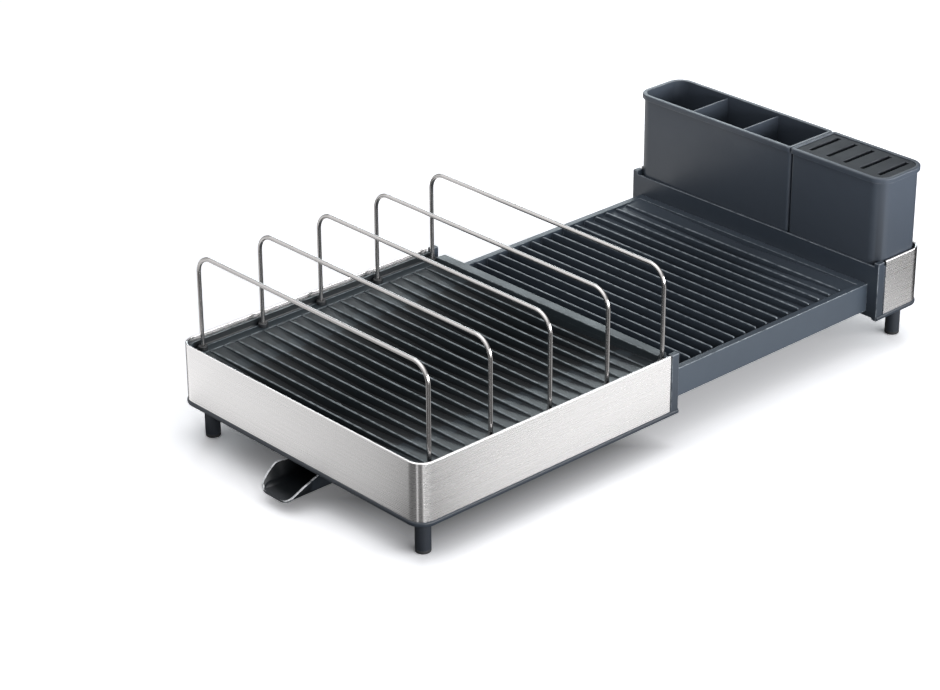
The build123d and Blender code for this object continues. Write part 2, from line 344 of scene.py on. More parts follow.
def soft_block(bm, x0, x1, y0, y1, z0, z1, radius=EDGE, steps=2):
    """A box between two corners with its edges rounded."""
    plan = ((x0, y0), (x1, y0), (x1, y1), (x0, y1))
    known = set(bm.faces)
    loft(bm, [[place(x, y, z) for x, y in plan] for z in (z0, z1)])
    fresh = [face for face in bm.faces if face not in known]
    edges = list(dict.fromkeys(edge for face in fresh for edge in face.edges))
    bmesh.ops.bevel(
        bm, geom=edges, offset=radius * MM, offset_type="OFFSET", segments=steps,
        profile=0.5, affect="EDGES")


def side_blocks(bm, x0, x1, inner, outer, z0, z1, radius=EDGE, steps=2):
    """The same box with rounded edges at the front and at the back."""
    for y0, y1 in ((-outer, -inner), (inner, outer)):
        soft_block(bm, x0, x1, y0, y1, z0, z1, radius, steps)


def plate(bm, outline, holes, z0, z1, soft=FINE_EDGE):
    """A flat plate with holes and softened edges."""
    layers = [(z0, -soft), (z0 + soft, 0.0), (z1 - soft, 0.0), (z1, -soft)]
    ends = []
    for shape, way in [(outline, 1)] + [(hole, -1) for hole in holes]:
        made = skin(bm, [[place(x, y, z) for x, y in shape(way * grow)] for z, grow in layers])
        ends.append((made[0], made[-1]))
    for side in (0, 1):
        edges = []
        for pair in ends:
            ring = pair[side]
            edges += [bm.edges.get(two) for two in zip(ring, ring[1:] + ring[:1])]
        bmesh.ops.triangle_fill(bm, use_beauty=True, edges=edges)


def wrap_path(square_x, round_x, steps=14):
    """Points and outward directions along three sides of one half."""
    outward = 1 if round_x > square_x else -1
    centre = round_x - outward * CORNER_RADIUS
    side = HALF_WIDTH - CORNER_RADIUS
    beside = square_x + outward * BAND_STATION
    path = [((square_x, -HALF_WIDTH), (0.0, -1.0)), ((beside, -HALF_WIDTH), (0.0, -1.0))]
    for sign in (-1, 1):
        for i in range(steps + 1):
            turn = math.radians(90 * (i / steps if sign < 0 else 1 - i / steps))
            normal = (outward * math.sin(turn), sign * math.cos(turn))
            point = (centre + CORNER_RADIUS * normal[0], sign * side + CORNER_RADIUS * normal[1])
            path.append((point, normal))
    path += [((beside, HALF_WIDTH), (0.0, 1.0)), ((square_x, HALF_WIDTH), (0.0, 1.0))]
    return path


def wrap(bm, square_x, round_x, profile):
    """Runs a section of (depth inward, height) along three sides of one half."""
    rings = []
    for (x, y), (nx, ny) in wrap_path(square_x, round_x):
        rings.append([place(x - d * nx, y - d * ny, z) for d, z in profile])
    loft(bm, rings)


def mark_edge_faces(bm, width=1.3 * MM, least_bend=40):
    """Marks the narrow faces along outer edges, where the materials paint wear and highlight."""
    layer = bm.faces.layers.float.new("edge")
    for face in bm.faces:
        longest = max(edge.calc_length() for edge in face.edges)
        sides = [edge for edge in face.edges if edge.calc_length() > longest / 2]
        bend = sum(edge.calc_face_angle_signed(0) for edge in sides)
        narrow = len(face.edges) > 3 and face.calc_area() < width * longest
        if narrow and bend > math.radians(least_bend):
            face[layer] = 1.0


def mark_painted_shade(bm, shade_at):
    """Marks how much painted shade each point gets, mostly by how deep it lies in a pocket, for the
    materials.
    """
    layer = bm.verts.layers.float.new("painted_shade")
    for vert in bm.verts:
        x, y, z = vert.co / MM
        vert[layer] = min(max(shade_at(x + MIDDLE_X, y, z), 0.0), 1.0)


def make_piece(bm, node, form, body, material, crease=32, shade_at=None, weld=1e-6):
    """Turns a mesh into a piece that rides on a body and stands for its node."""
    name = f"{node}_{form}"
    bmesh.ops.remove_doubles(bm, verts=bm.verts, dist=weld)
    bmesh.ops.recalc_face_normals(bm, faces=bm.faces)
    mark_edge_faces(bm)
    # Each point gets the amount of painted shade that the materials mix in
    if shade_at:
        mark_painted_shade(bm, shade_at)
    mesh = bpy.data.meshes.new(name)
    bm.to_mesh(mesh)
    bm.free()
    for polygon in mesh.polygons:
        polygon.use_smooth = True
    mesh.set_sharp_from_angle(angle=math.radians(crease))
    piece = bpy.data.objects.new(name, mesh)
    bpy.context.scene.collection.objects.link(piece)
    mesh.materials.append(material)
    shade = piece.modifiers.new("flat_faces", "WEIGHTED_NORMAL")
    shade.keep_sharp = True
    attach(piece, body)
    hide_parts(node)
    return piece


def rounded_node(node, width, steps=2, least_bend=30, flat=0.3, weld=2e-6):
    """A node's mesh with its sharp edges rounded."""
    bm = bmesh.new()
    bm.from_mesh(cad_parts[node].data)
    bmesh.ops.remove_doubles(bm, verts=bm.verts, dist=weld)
    bmesh.ops.dissolve_limit(bm, angle_limit=math.radians(flat), verts=bm.verts, edges=bm.edges)
    sharp = [e for e in bm.edges if e.is_manifold and e.calc_face_angle(0) > math.radians(least_bend)]
    bmesh.ops.bevel(
        bm, geom=sharp, offset=width * MM, offset_type="OFFSET", segments=steps,
        profile=0.5, affect="EDGES", clamp_overlap=False)
    return bm


# Node helpers
def feed(tree, socket, value):
    """Gives an input the output of another node, or a value of its own."""
    if isinstance(value, bpy.types.NodeSocket):
        tree.links.new(value, socket)
    else:
        socket.default_value = value


def add(tree, kind, **values):
    """A node with some of its settings and inputs given."""
    node = tree.nodes.new("ShaderNode" + kind)
    for key, value in values.items():
        if hasattr(node, key):
            setattr(node, key, value)
        else:
            feed(tree, node.inputs[key.replace("_", " ")], value)
    return node


def ramp(tree, source, low, high, from_low=0.3, from_high=0.7):
    """Spreads a mask between two values."""
    node = add(
        tree, "MapRange", Value=source, From_Min=from_low, From_Max=from_high, To_Min=low,
        To_Max=high)
    return node.outputs["Result"]


def noise(tree, spot, scale, detail, rough=0.5):
    """A cloudy mask."""
    node = add(tree, "TexNoise", Vector=spot, Scale=scale, Detail=detail, Roughness=rough)
    return node.outputs["Fac"]


def maths(tree, operation, first, second, kind="Math"):
    """One value or vector worked out from two."""
    node = add(tree, kind, operation=operation)
    for socket, value in zip(node.inputs, (first, second)):
        feed(tree, socket, value)
    return node.outputs[0]


# Sockets of a Mix node by what it mixes: the share, the two ends and the result
MIX_SOCKETS = {"RGBA": (0, 6, 7, 2), "FLOAT": (0, 2, 3, 0)}


def mix(tree, kind, share, first, second):
    """A colour or a value between two others."""
    node = add(tree, "Mix", data_type=kind)
    *ends, result = MIX_SOCKETS[kind]
    for number, value in zip(ends, (share, first, second)):
        feed(tree, node.inputs[number], value)
    return node.outputs[result]


# Node groups that several finishes share
FLOAT, COLOUR, VECTOR = "NodeSocketFloat", "NodeSocketColor", "NodeSocketVector"
GREY = (0.1, 0.1, 0.1, 1)
# Colour of the shade painted into pockets, slots and other shaded places
POCKET_SHADE_BLACK = (0.004, 0.005, 0.006, 1)


def new_group(name, inputs, outputs):
    """An empty shader group with named values."""
    group = bpy.data.node_groups.new(name, "ShaderNodeTree")
    for label, kind, value in inputs:
        socket = group.interface.new_socket(label, in_out="INPUT", socket_type=kind)
        socket.default_value = value
    for label, kind in outputs:
        group.interface.new_socket(label, in_out="OUTPUT", socket_type=kind)
    start = group.nodes.new("NodeGroupInput")
    end = group.nodes.new("NodeGroupOutput")
    return group, start.outputs, end.inputs


def mould_grain_group():
    """Fine moulded texture: a height, and a mask of duller and shinier patches."""
    group, start, end = new_group(
        "mould_grain", [("Size", FLOAT, 900.0)], [("Height", FLOAT), ("Patch", FLOAT)])
    spot = add(group, "TexCoord").outputs["Object"]
    feed(group, end["Height"], noise(group, spot, start["Size"], detail=3.0, rough=0.6))
    feed(group, end["Patch"], noise(group, spot, 23.0, detail=4.0, rough=0.55))
    return group


def edge_wear_and_highlight_group():
    """Mixes a paler colour in along the rounded edges, broken up by a noise: it paints both wear and
    highlight on the edges.
    """
    group, start, end = new_group(
        "edge_wear_and_highlight", [("Colour", COLOUR, GREY), ("Rubbed", COLOUR, GREY), ("Amount", FLOAT, 0.5)],
        [("Colour", COLOUR)])
    edge = add(group, "Attribute", attribute_name="edge").outputs["Fac"]
    spot = add(group, "TexCoord").outputs["Object"]
    edge_patchiness = ramp(group, noise(group, spot, 140.0, detail=3.0), 0.0, 1.0, 0.3, 0.65)
    amount = maths(group, "MULTIPLY", maths(group, "MULTIPLY", edge, edge_patchiness), start["Amount"])
    feed(group, end["Colour"], mix(group, "RGBA", amount, start["Colour"], start["Rubbed"]))
    return group


def painted_pocket_shade_group():
    """Paints shade into a colour: darkens it down in the pockets of a moulding and wherever a piece
    marks shade.
    """
    group, start, end = new_group(
        "painted_pocket_shade", [("Colour", COLOUR, GREY), ("Amount", FLOAT, 0.7)], [("Colour", COLOUR)])
    deep = add(group, "Attribute", attribute_name="painted_shade").outputs["Fac"]
    amount = maths(group, "MULTIPLY", deep, start["Amount"])
    feed(group, end["Colour"], mix(group, "RGBA", amount, start["Colour"], POCKET_SHADE_BLACK))
    return group


def brush_lines_group():
    """Long fine lines of brushed or drawn metal, from a stretched place."""
    group, start, end = new_group(
        "brush_lines", [("Vector", VECTOR, (0, 0, 0)), ("Stretch", VECTOR, (6, 6, 900))],
        [("Line", FLOAT), ("Cloud", FLOAT)])
    stretch = add(group, "Mapping", Vector=start["Vector"], Scale=start["Stretch"])
    feed(group, end["Line"], noise(group, stretch.outputs["Vector"], 1.0, detail=5.0, rough=0.7))
    feed(group, end["Cloud"], noise(group, start["Vector"], 9.0, detail=2.0))
    return group


MOULD_GRAIN = mould_grain_group()
EDGE_WEAR_AND_HIGHLIGHT = edge_wear_and_highlight_group()
PAINTED_POCKET_SHADE = painted_pocket_shade_group()
BRUSH_LINES = brush_lines_group()


# Finishes
# How far the painted pocket shade darkens a plastic where it is full
POCKET_SHADE_AMOUNT = 0.85
GLOSS_SPREAD = 0.05
GRAIN_HEIGHT = 0.0002
BRUSH_HEIGHT = 0.0001


def new_finish(name):
    """A material with its shader, ready for its other nodes."""
    finish = bpy.data.materials.new(name)
    finish.use_nodes = True
    tree = finish.node_tree
    return finish, tree, tree.nodes["Principled BSDF"].inputs


def use(tree, group, **values):
    """Places a shared group in a finish, and gives back its outputs."""
    node = add(tree, "Group")
    node.node_tree = group
    for key, value in values.items():
        feed(tree, node.inputs[key], value)
    return node.outputs


def moulded_plastic(name, colour, dark, wear_and_highlight_colour, rough, grain=1100.0, bump=0.1, wear_and_highlight=0.8, shine=0.5):
    """Moulded plastic with a fine grain, uneven gloss, paler edges that paint both wear and highlight,
    and painted shade in its pockets.
    """
    finish, tree, shader = new_finish(name)
    surface = use(tree, MOULD_GRAIN, Size=grain)
    patch = surface["Patch"]
    tone = mix(tree, "RGBA", ramp(tree, patch, 0.0, 1.0), (*dark, 1), (*colour, 1))
    # Painted shade: darker down in pockets and wherever the piece marks shade
    pocket = use(tree, PAINTED_POCKET_SHADE, Colour=tone, Amount=POCKET_SHADE_AMOUNT)
    # Paler edges: partly wear, partly a painted highlight along the rounded edges
    edge = use(tree, EDGE_WEAR_AND_HIGHLIGHT, Colour=pocket["Colour"], Rubbed=(*wear_and_highlight_colour, 1), Amount=wear_and_highlight)
    feed(tree, shader["Base Color"], edge["Colour"])
    feed(tree, shader["Roughness"], ramp(tree, patch, rough + GLOSS_SPREAD, rough - GLOSS_SPREAD))
    shader["Specular IOR Level"].default_value = shine
    height = add(
        tree, "Bump", Strength=bump, Distance=GRAIN_HEIGHT, Height=surface["Height"])
    feed(tree, shader["Normal"], height.outputs["Normal"])
    return finish


def brushed_band_finish():
    """Brushed stainless sheet, its lines level round the rack."""
    finish, tree, shader = new_finish("brushed_band")
    spot = add(tree, "TexCoord").outputs["Object"]
    line = use(tree, BRUSH_LINES, Vector=spot, Stretch=(4.0, 4.0, 2400.0))["Line"]
    dull, bright = (0.966, 0.951, 0.949, 1), (0.98, 0.965, 0.965, 1)
    feed(tree, shader["Base Color"], mix(tree, "RGBA", ramp(tree, line, 0.0, 1.0), dull, bright))
    feed(tree, shader["Roughness"], ramp(tree, line, 0.285, 0.265))
    height = add(tree, "Bump", Strength=0.0015, Distance=BRUSH_HEIGHT, Height=line)
    feed(tree, shader["Normal"], height.outputs["Normal"])
    shader["Metallic"].default_value = 1.0
    shader["Anisotropic"].default_value = 0.85
    shader["Anisotropic Rotation"].default_value = 0.25
    along = add(tree, "Tangent", direction_type="RADIAL", axis="Z")
    feed(tree, shader["Tangent"], along.outputs["Tangent"])
    return finish


def wire_steel_finish():
    """Drawn and polished stainless rod."""
    finish, tree, shader = new_finish("wire_steel")
    spot = add(tree, "UVMap", uv_map="rod").outputs["UV"]
    lines = use(tree, BRUSH_LINES, Vector=spot, Stretch=(2.0, 60.0, 1.0))
    dull, bright = (0.50, 0.485, 0.48, 1), (0.72, 0.70, 0.695, 1)
    share = ramp(tree, lines["Line"], 0.0, 1.0)
    feed(tree, shader["Base Color"], mix(tree, "RGBA", share, dull, bright))
    feed(tree, shader["Roughness"], ramp(tree, lines["Cloud"], 0.16, 0.26))
    shader["Metallic"].default_value = 1.0
    return finish


SLATE = moulded_plastic(
    "slate_plastic", (0.046, 0.060, 0.081), (0.041, 0.053, 0.072), (0.29, 0.32, 0.36),
    rough=0.36)
# A lighter copy of the slate plastic: painted light for the extension tray's lit surfaces
TRAY_SLATE_PAINTED_LIT = moulded_plastic(
    "tray_plastic_painted_lit", (0.058, 0.075, 0.098), (0.051, 0.066, 0.087), (0.32, 0.36, 0.40),
    rough=0.36)
# A darker copy of the slate plastic: painted shade over the drainer tray
DECK_SLATE_PAINTED_SHADE = moulded_plastic(
    "deck_plastic_painted_shade", (0.030, 0.041, 0.049), (0.027, 0.037, 0.044), (0.27, 0.31, 0.34),
    rough=0.38)
CHARCOAL = moulded_plastic(
    "caddy_plastic", (0.079, 0.097, 0.126), (0.070, 0.086, 0.112), (0.20, 0.22, 0.25),
    rough=0.34, grain=1000.0)
FOOT_SLATE = moulded_plastic(
    "foot_plastic", (0.027, 0.032, 0.042), (0.022, 0.027, 0.035), (0.10, 0.11, 0.13),
    rough=0.40, wear_and_highlight=0.6)
# The scoop's pale edge colour, mixed in strongly, paints a highlight along its brim
SPOUT_SLATE = moulded_plastic(
    "spout_plastic", (0.026, 0.032, 0.040), (0.023, 0.028, 0.035), (0.75, 0.77, 0.80),
    rough=0.34, wear_and_highlight=2.5)
TOP_CHARCOAL = moulded_plastic(
    "knife_top_plastic", (0.034, 0.039, 0.047), (0.030, 0.034, 0.041), (0.13, 0.14, 0.16),
    rough=0.52, grain=1000.0, bump=0.12, wear_and_highlight=0.7, shine=0.2)
CUP_BLACK = moulded_plastic(
    "cup_plastic", (0.022, 0.024, 0.027), (0.016, 0.018, 0.020), (0.07, 0.075, 0.08),
    rough=0.38, grain=1500.0, wear_and_highlight=0.5)
RUBBER = moulded_plastic(
    "pad_rubber", (0.020, 0.021, 0.023), (0.015, 0.016, 0.017), (0.045, 0.047, 0.05),
    rough=0.75, grain=1800.0, bump=0.3, wear_and_highlight=0.5)
BAND_STEEL = brushed_band_finish()
WIRE_STEEL = wire_steel_finish()


# Steel bands
def band_profile():
    """Section of a band: a thin sheet with a rolled top edge."""
    roll = HEM / 2
    hem_low = RIM_Z - HEM_TALL
    profile = [(BAND_EDGE[0], BAND_LOW), (0.0, BAND_LOW + BAND_EDGE[1])]
    profile += [(roll - x, RIM_Z - roll + z) for x, z in arc(0, 0, roll, 0, 180, 10)]
    profile += [(HEM - HEM_EDGE, hem_low + HEM_EDGE), (HEM - HEM_CUT, hem_low)]
    profile += [(STEEL, hem_low - HEM_FALL), (STEEL, BAND_LOW)]
    return profile


def make_band(name, square_x, round_x, body):
    outward = 1 if round_x > square_x else -1
    bm = bmesh.new()
    wrap(bm, square_x + outward * BAND_START, round_x, band_profile())
    make_piece(bm, name, "sheet", body, BAND_STEEL, crease=40)


make_band("steel_band", MAIN_LENGTH, 0.0, "main")
make_band("end_band", END_START, END_FACE, "extension")


# Plate wires and their cups
def wire_line():
    """The bent line of a wire, as points across the rack and up."""
    side, level = WIRE_Y - WIRE_BEND, WIRE_TOP - WIRE_BEND
    straight = level - WIRE_STRAIGHT
    line = [(-WIRE_Y, WIRE_BOTTOM), (-WIRE_Y, straight)]
    line += arc(-side, level, WIRE_BEND, 180, 90, BEND_STEPS)
    line += arc(side, level, WIRE_BEND, 90, 0, BEND_STEPS)
    return line + [(WIRE_Y, straight), (WIRE_Y, WIRE_BOTTOM)]


def make_wire(number, x):
    line = wire_line()
    rings, lengths, walked = [], [], 0.0
    for i, (y, z) in enumerate(line):
        before, after = line[max(i - 1, 0)], line[min(i + 1, len(line) - 1)]
        run = Vector((after[0] - before[0], after[1] - before[1])).normalized()
        walked += math.dist(line[i - 1], line[i]) if i else 0.0
        lengths.append(walked * MM)
        ring = []
        for k in range(WIRE_SIDES):
            turn = 2 * math.pi * k / WIRE_SIDES
            out = WIRE_RADIUS * math.cos(turn)
            ring.append(place(x + WIRE_RADIUS * math.sin(turn), y - out * run.y, z + out * run.x))
        rings.append(ring)
    bm = bmesh.new()
    loft(bm, rings)
    uv = bm.loops.layers.uv.new("rod")
    bm.verts.index_update()
    for face in bm.faces:
        for loop in face.loops:
            ring, spot = divmod(loop.vert.index, WIRE_SIDES)
            loop[uv].uv = (lengths[ring], spot / WIRE_SIDES)
    make_piece(bm, f"plate_wire_{number}", "rod", "main", WIRE_STEEL)


def make_cup(node, x, y):
    top, head, bend = DECK_TOP + CUP_TALL, CUP_HEAD, CUP_HEAD_ROUND
    profile = [(CUP_SLEEVE - FINE_EDGE, CUP_BOTTOM), (CUP_SLEEVE, CUP_BOTTOM + FINE_EDGE)]
    profile += [(CUP_SLEEVE, DECK_TOP), (head - CUP_HEAD_EDGE[0], DECK_TOP)]
    profile += [(head, DECK_TOP + CUP_HEAD_EDGE[1])] + arc(head - bend, top - bend, bend, 0, 90, 5)
    profile += eased((CUP_BORE, top), RIGHT, DOWN, EDGE) + [(CUP_BORE, WIRE_BOTTOM)]
    bm = bmesh.new()
    lathe(bm, x, y, profile, 28)
    make_piece(bm, node, "socket", "main", CUP_BLACK)


for wire_number in range(1, WIRE_COUNT + 1):
    wire_x = WIRE_FIRST + (wire_number - 1) * WIRE_PITCH
    make_wire(wire_number, wire_x)
    make_cup(f"wire_cup_{wire_number}_front", wire_x, -WIRE_Y)
    make_cup(f"wire_cup_{wire_number}_back", wire_x, WIRE_Y)


# Basin and bracket shells
def half_outline(square_x, round_x, inset):
    """Plan of one half's floor, as a function of how far it is grown."""
    bend, side = CORNER_RADIUS - inset, HALF_WIDTH - inset
    if round_x < square_x:
        return rounded_rect(round_x + inset, square_x, -side, side, (0, bend, bend, 0))
    return rounded_rect(square_x, round_x - inset, -side, side, (bend, 0, 0, bend))


def half_shell(bm, square_x, round_x, holes):
    """Floor, liner, lip and posts of one half."""
    outward = 1 if round_x > square_x else -1
    end_x = square_x + outward * END_INSET
    lip = arc(LIP_OUT + LIP_ROUND, LIP_BOTTOM + LIP_ROUND, LIP_ROUND, 270, 180, 5)
    lip += arc(LIP_OUT + LIP_ROUND, LIP_TOP - LIP_ROUND, LIP_ROUND, 180, 90, 6)
    lip += [(LIP_IN, LIP_TOP), (LIP_IN, LIP_BOTTOM + EDGE), (LIP_IN - EDGE, LIP_BOTTOM)]
    wrap(bm, end_x, round_x, lip)
    foot_in = LINER_IN + LINER_COVE
    liner = [(LINER_OUT, LINER_BOTTOM), (LINER_OUT, LINER_TOP - FINE_EDGE)]
    liner += [(LINER_OUT + FINE_EDGE, LINER_TOP), (LINER_IN - FINE_EDGE, LINER_TOP)]
    liner += [(LINER_IN, LINER_TOP - FINE_EDGE)]
    liner += eased((LINER_IN, LIP_TOP), UP, RIGHT, LINER_COVE)[:2]
    liner += [(foot_in, LIP_TOP - SINK), (foot_in, LINER_BOTTOM)]
    wrap(bm, end_x, round_x, liner)
    plate(bm, half_outline(end_x, round_x, LINER_OUT), holes, FLOOR_BOTTOM, LIP_TOP, THIN_EDGE)
    x0, x1 = sorted((square_x, square_x + outward * POST_LONG))
    inner = HALF_WIDTH - POST_DEEP
    side_blocks(bm, x0, x1, inner, HALF_WIDTH, LIP_BOTTOM, POST_TOP, POST_ROUND, 4)


def slot_shade(square_x, x, y, z):
    """Marks painted shade: some on the lip under the band, and full shade in the narrow slot between a
    post and the cut end of a band.
    """
    if z < LIP_TOP - 2 * TOUCH:
        return LIP_SHADE
    between = POST_LONG - TOUCH < abs(x - square_x) < BAND_STATION + TOUCH
    behind = abs(y) < HALF_WIDTH - LINER_OUT / 2
    return 1.0 if between and behind and z > LIP_TOP + 2 * TOUCH else 0.0


def make_basin():
    bm = bmesh.new()
    half_shell(bm, MAIN_LENGTH, 0.0, [circle(BASIN_HOLE_X, 0, BASIN_HOLE, NECK_SIDES)])
    inner, low = TRAY_HALF - RUNNER_WIDE, LIP_TOP - MID_SINK
    side_blocks(bm, DRAINER_OUT, MAIN_LENGTH, inner, TRAY_HALF, low, TRAY_BOTTOM)
    make_piece(
        bm, "base_basin", "moulding", "main", SLATE,
        shade_at=lambda x, y, z: slot_shade(MAIN_LENGTH, x, y, z))


def make_bracket():
    bm = bmesh.new()
    half_shell(bm, END_START, END_FACE, [])
    inner, face, back = HALF_WIDTH - POST_DEEP / 2, END_START + BRACKET_INSET, END_START + BRACKET_WALL
    soft_block(bm, face, back, -inner, inner, FLOOR_BOTTOM, BRACKET_TOP, BRACKET_ROUND, 3)
    make_piece(
        bm, "end_bracket", "moulding", "extension", SLATE,
        shade_at=lambda x, y, z: slot_shade(END_START, x, y, z))


make_basin()
make_bracket()


# Drainer tray: deck, rim and a ribbed valley
def pan_depth(y):
    """Depth of the valley across the rack, rounded along its middle, with a small step at its ends."""
    slope = 1 - math.hypot(y, VALLEY_ROUND) / math.hypot(PAN_REACH, VALLEY_ROUND)
    step = PAN_END_STEP * min((PAN_REACH - abs(y)) / PAN_STEP_RUN, 1.0)
    return (PAN_DEPTH - PAN_END_STEP) * slope + step


def rib_edge(depth):
    """One side of a rib, from its top down to the pocket's floor, as (distance, depth) pairs."""
    share = min(1.0, depth / (RIB_ROUND + 2 * RIB_FOOT))
    top = eased((0, 0), LEFT, (0, share), RIB_ROUND)
    return top + eased((0, depth), (0, -share), RIGHT, RIB_FOOT)


def pan_row(y):
    """The ribs and pockets along one line from left to right."""
    edge = rib_edge(pan_depth(y))
    row = [(PAN_LEFT + e, h) for e, h in edge]
    for number in range(RIB_COUNT):
        x = RIB_FIRST + number * RIB_PITCH
        row += [(x - RIB_HALF - e, h) for e, h in reversed(edge)]
        row += [(x + RIB_HALF + e, h) for e, h in edge]
    row += [(PAN_RIGHT - e, h) for e, h in reversed(edge)]
    return [place(x, y, DECK_TOP - h) for x, h in row]


def drain_hole(bm, inner_steps):
    """The floor round the drain hole, and the hole's wall."""
    middle = RIB_FIRST + (HOLE_RIB + 0.5) * RIB_PITCH
    half = RIB_PITCH / 2 - RIB_HALF - RIB_FOOT
    across = [half * k / 2 for k in range(-2, 3)]
    border = [(x, -HOLE_REACH) for x in across[:-1]] + [(half, y) for y in inner_steps[:-1]]
    border += [(-x, HOLE_REACH) for x in across[:-1]] + [(-half, -y) for y in inner_steps[:-1]]
    rows = [[place(middle + x, y, DECK_TOP - pan_depth(y)) for x, y in border]]
    inner = HOLE_RADIUS - HOLE_EDGE
    for radius, drop in ((HOLE_RADIUS, 0.0), (inner, HOLE_EDGE), (inner, PAN_FLOOR + SINK)):
        ring = []
        for x, y in border:
            scale = radius / math.hypot(x, y)
            ring.append(place(middle + x * scale, y * scale, DECK_TOP - pan_depth(y * scale) - drop))
        rows.append(ring)
    skin(bm, rows)


def ribbed_pan(bm):
    """The ribbed valley with its drain hole, and its smooth underside."""
    inner_steps = [-HOLE_REACH, -HOLE_STATION, 0.0, HOLE_STATION, HOLE_REACH]
    outer_steps = [*PAN_STATIONS, PAN_REACH - PAN_STEP_RUN, PAN_REACH]
    stations = [-y for y in reversed(outer_steps)] + inner_steps + outer_steps
    made = skin(bm, [pan_row(y) for y in stations], closed=False)
    left = len(rib_edge(PAN_DEPTH)) * (2 * HOLE_RIB + 3) - 1
    for k, y in enumerate(stations[:-1]):
        if -HOLE_REACH <= y < HOLE_REACH:
            corners = (made[k][left], made[k][left + 1], made[k + 1][left + 1], made[k + 1][left])
            bm.faces.remove(bm.faces.get(corners))
    drain_hole(bm, inner_steps)
    under = DECK_BOTTOM - PAN_SINK
    run = (PAN_LEFT - PAN_FLOOR, PAN_RIGHT + PAN_FLOOR)
    deep = DECK_TOP - PAN_DEPTH - PAN_FLOOR
    spread = PAN_REACH * (1 - (DECK_TOP - under) / (PAN_DEPTH + PAN_FLOOR))
    section = [(-PAN_REACH, under), (-spread, under), (0, deep), (spread, under), (PAN_REACH, under)]
    skin(bm, [[place(x, y, z) for y, z in section] for x in run], closed=False)
    for x in run:
        bm.faces.new([bm.verts.new(place(x, y, z)) for y, z in section[1:4]])


def deck_outline(grow=0.0):
    """Plan of the deck, with a notch for each corner post."""
    bend = CORNER_RADIUS - DRAINER_OUT + grow
    left, side = CORNER_RADIUS, HALF_WIDTH - CORNER_RADIUS
    right, notch = MAIN_LENGTH + grow, MAIN_LENGTH - NOTCH_LONG + grow
    half, deep = HALF_WIDTH - DRAINER_OUT + grow, NOTCH_Y + grow
    ring = [(right, -deep), (right, deep), (notch, deep), (notch, half)]
    ring += arc(left, side, bend, 90, 180, 8) + arc(left, -side, bend, 180, 270, 8)
    return ring + [(notch, -half), (notch, -deep)]


def pocket_shade(x, y, z):
    """How much painted shade a point gets, from 0 to 1: by how deep it lies in the valley's pockets, and
    most of it in the rim's channel.
    """
    side = HALF_WIDTH - abs(y)
    on_flange = side < FLANGE_OUT + EDGE + TOUCH
    on_wall = side < DRAINER_IN + EDGE and COVE_MIDDLE < z < FLANGE_TOP - EDGE + TOUCH
    if on_flange or on_wall:
        return CHANNEL_SHADE
    in_pan = PAN_LEFT <= x <= PAN_RIGHT and abs(y) < PAN_REACH
    return (DECK_TOP - z) / POCKET_DEEP if in_pan else 0.0


def end_rim(bm):
    """The raised rim along the deck's right end, its top a little lower on the outside."""
    low, top, edge, bend = DECK_TOP - END_RIM_SINK, END_RIM_TOP, END_RIM_EDGE, END_RIM_ROUND
    section = [(PAN_RIGHT, low), (PAN_RIGHT, top - edge)]
    section += [(PAN_RIGHT + edge / 4, top - edge / 4), (PAN_RIGHT + edge, top)]
    section += arc(RIM_FACE - bend, top - END_RIM_FALL - bend, bend, 90, 0, 5) + [(RIM_FACE, low)]
    loft(bm, [[place(x, y, z) for x, z in section] for y in (-PAN_REACH, PAN_REACH)])


def make_drainer():
    bm = bmesh.new()
    over, reach = RIB_ROUND - THIN_EDGE, PAN_REACH - THIN_EDGE
    holes = [rounded_rect(PAN_LEFT - over, PAN_RIGHT + over, -reach, reach, (0, 0, 0, 0), 1)]
    for number in range(WIRE_COUNT):
        for side in (-1, 1):
            x = WIRE_FIRST + number * WIRE_PITCH
            holes.append(circle(x, side * WIRE_Y, CUP_SLEEVE + CUP_ROOM, 20))
    plate(bm, deck_outline, holes, DECK_BOTTOM, DECK_TOP, THIN_EDGE)
    ribbed_pan(bm)
    rim = [(DRAINER_IN + d, DECK_TOP + z) for d, z in RIM_COVE]
    rim += eased((DRAINER_IN, FLANGE_TOP), DOWN, LEFT, EDGE)
    rim += eased((FLANGE_OUT, FLANGE_TOP), RIGHT, DOWN, EDGE)
    rim += [(FLANGE_OUT, LINER_TOP), (DRAINER_OUT, LINER_TOP), (DRAINER_OUT, DECK_TOP - 2 * SINK)]
    wrap(bm, MAIN_LENGTH - NOTCH_LONG, 0.0, rim)
    end_rim(bm)
    skirt = MAIN_LENGTH - SKIRT_THICK
    soft_block(bm, skirt, RIM_FACE, -TRAY_HALF, TRAY_HALF, SKIRT_BOTTOM, DECK_TOP - SINK)
    make_piece(
        bm, "drainer_tray", "moulding", "main", DECK_SLATE_PAINTED_SHADE, shade_at=pocket_shade)


make_drainer()


# Extension tray: a border, a tub that falls to the rack's middle, and its fins
def tub_level(x):
    """Height of the tub's floor along its middle."""
    return TUB_LOW + (TUB_HIGH - TUB_LOW) * (x - TRAY_LEFT) / (TUB_END - TRAY_LEFT)


def tub_floor(x, y):
    """Height of the tub's floor at a point."""
    return tub_level(x) + TUB_FALL * abs(y) / TUB_HALF


